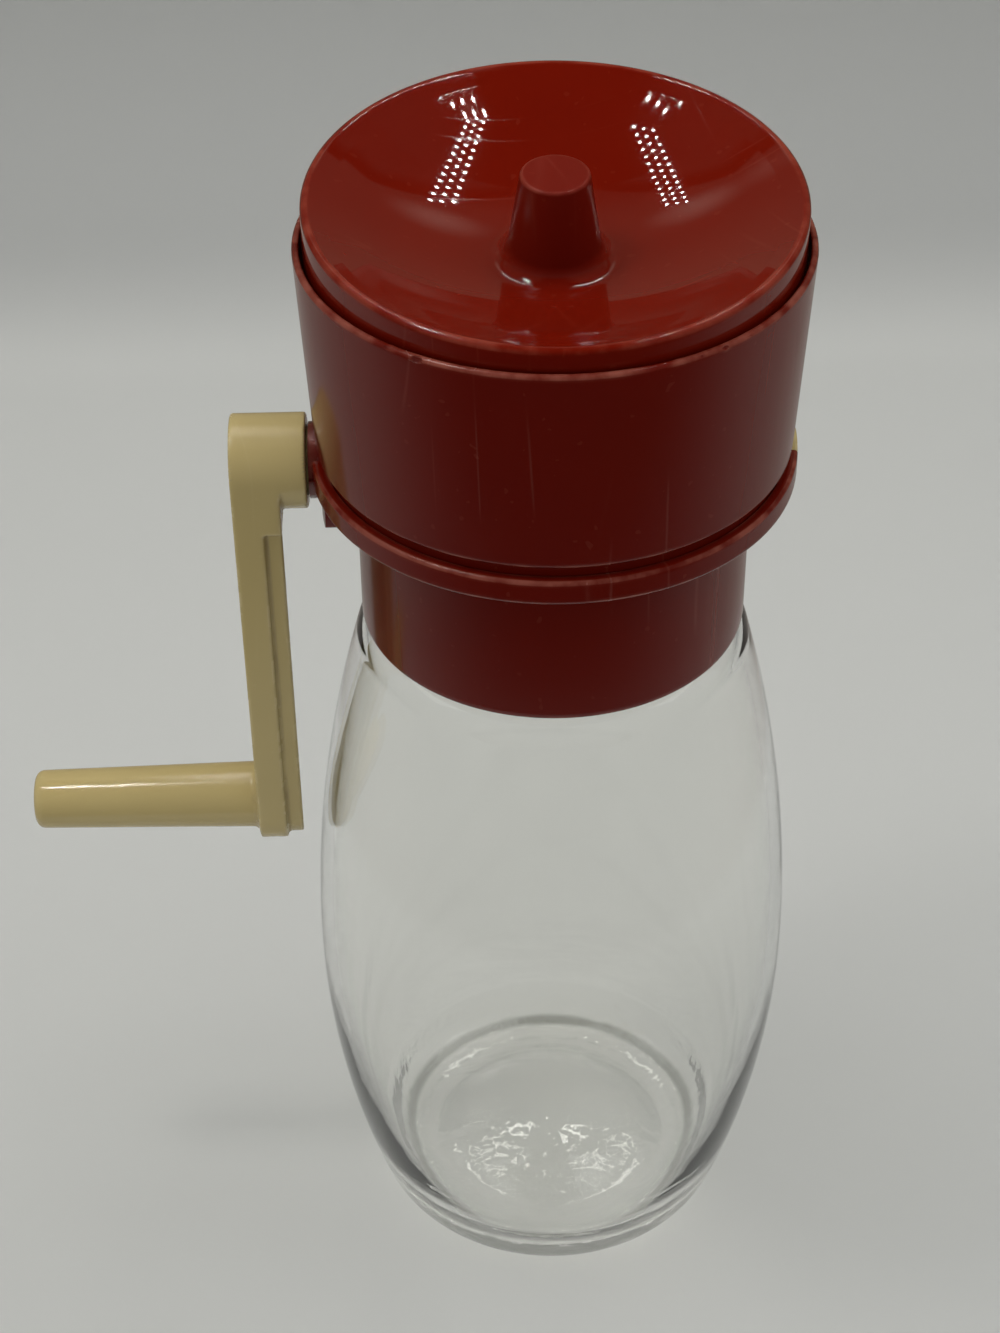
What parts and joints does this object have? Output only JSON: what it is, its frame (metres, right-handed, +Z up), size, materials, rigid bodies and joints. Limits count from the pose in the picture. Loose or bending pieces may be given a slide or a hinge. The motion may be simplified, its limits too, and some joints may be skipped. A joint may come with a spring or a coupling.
{
  "type": "nut grinder",
  "caption": "Hand cranked nut grinder: barrel glass jar, screw-on grinding head with a hopper, dished lid with a knob and a side crank that turns star blades between fixed combs.",
  "frame": {"origin": "centre of the jar's foot ring, on the surface that the grinder stands on", "axes": "+Z up along the jar's axis, +X along the crank's shaft, away from the crank, +Y towards the back"},
  "size_m": [0.1425, 0.0904, 0.2297],
  "materials": {
    "clear_glass": "clear pressed soda glass, smooth",
    "red_plastic": "glossy moulded red plastic, lightly scratched",
    "cream_plastic": "glossy moulded cream plastic",
    "blade_steel": "stamped steel",
    "seal_rubber": "matte, off-white"
  },
  "bodies": {
    "jar": {"glass_jar": "clear_glass"},
    "seal": {"jar_seal": "seal_rubber"},
    "head": {"collar": "red_plastic", "chute": "red_plastic", "coarse_comb": "blade_steel", "fine_comb": "blade_steel", "comb_rivets": "blade_steel", "hopper": "red_plastic"},
    "rotor": {"crank": "cream_plastic", "shaft": "blade_steel", "end_journal": "cream_plastic", "rotor_blade_1": "blade_steel", "rotor_blade_2": "blade_steel", "rotor_blade_3": "blade_steel", "rotor_blade_4": "blade_steel", "rotor_blade_5": "blade_steel", "rotor_blade_6": "blade_steel", "rotor_blade_7": "blade_steel", "rotor_spacer_1": "blade_steel", "rotor_spacer_2": "blade_steel", "rotor_spacer_3": "blade_steel", "rotor_spacer_4": "blade_steel", "rotor_spacer_5": "blade_steel", "rotor_spacer_6": "blade_steel", "rotor_spacer_7": "blade_steel", "rotor_spacer_8": "blade_steel"},
    "lid": {"lid": "red_plastic"}
  },
  "joints": [
    {"name": "head_rise", "type": "slide", "parent": "jar", "child": "seal", "axis": [0, 0, 1], "range_m": [0, 0.0053]},
    {"name": "head_unscrew", "type": "hinge", "parent": "seal", "child": "head", "pos_m": [0, 0, 0.16], "axis": [0, 0, 1], "range_deg": [0, 450]},
    {"name": "crank_spin", "type": "hinge", "parent": "head", "child": "rotor", "pos_m": [0, 0, 0.175], "axis": [1, 0, 0], "continuous": true},
    {"name": "lid_lift", "type": "slide", "parent": "head", "child": "lid", "axis": [0, 0, 1], "range_m": [0, 0.08]}
  ],
  "couplings": [
    {"joint": "head_rise", "follows": "head_unscrew", "m_per_rad": 0.00066845}
  ]
}
